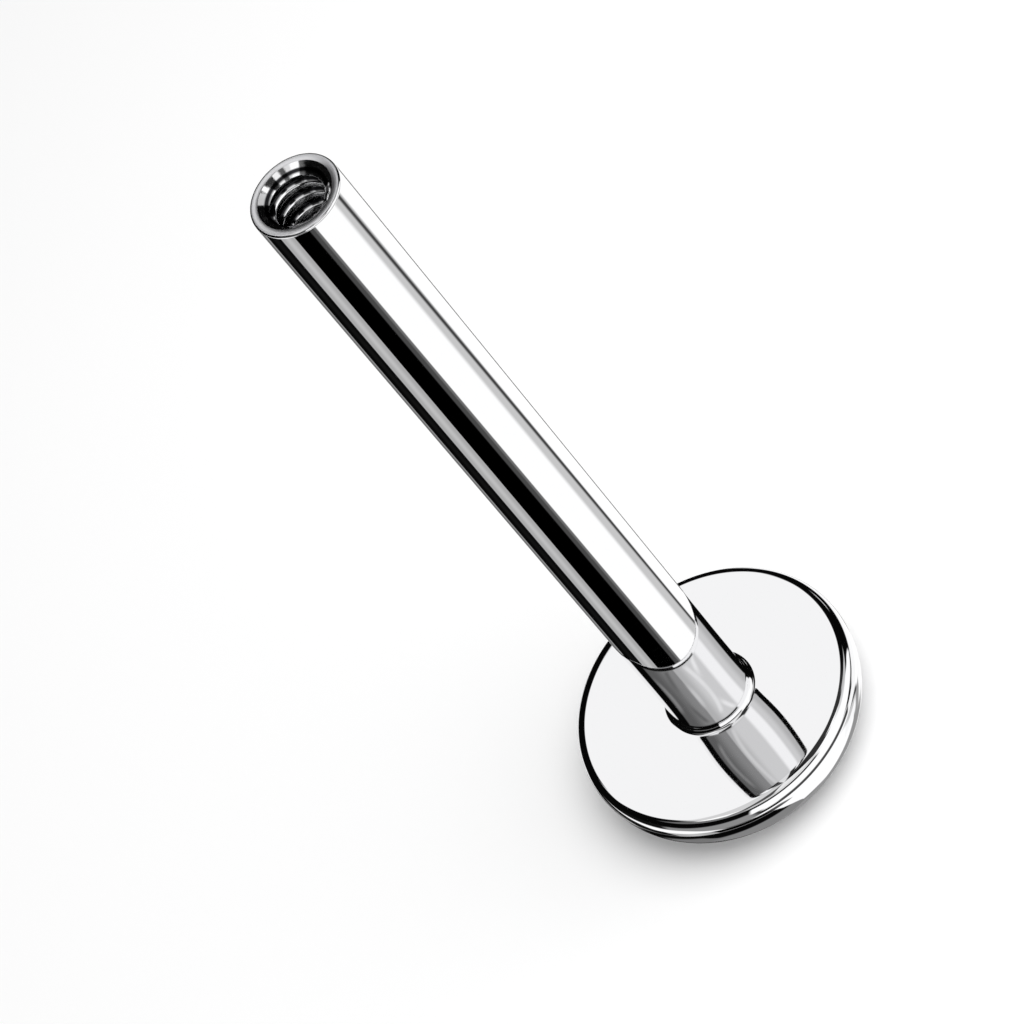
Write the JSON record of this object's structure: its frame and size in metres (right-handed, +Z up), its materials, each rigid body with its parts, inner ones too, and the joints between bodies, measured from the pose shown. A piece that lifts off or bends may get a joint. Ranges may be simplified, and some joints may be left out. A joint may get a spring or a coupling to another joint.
{
  "type": "internally threaded labret stud",
  "caption": "Straight round post on a low domed round back, in one polished piece, with a blind internal thread in its free end for a screw-in top.",
  "frame": {"origin": "middle of the back's flat underside, on which the stud stands", "axes": "+Z up along the post, from the back to the threaded tip; the part is round, so X and Y are free"},
  "size_m": [0.0042, 0.0042, 0.0135],
  "materials": {
    "polished_steel": "mirror-polished surgical stainless steel"
  },
  "bodies": {
    "root": {"labret_stud": "polished_steel"}
  },
  "joints": []
}
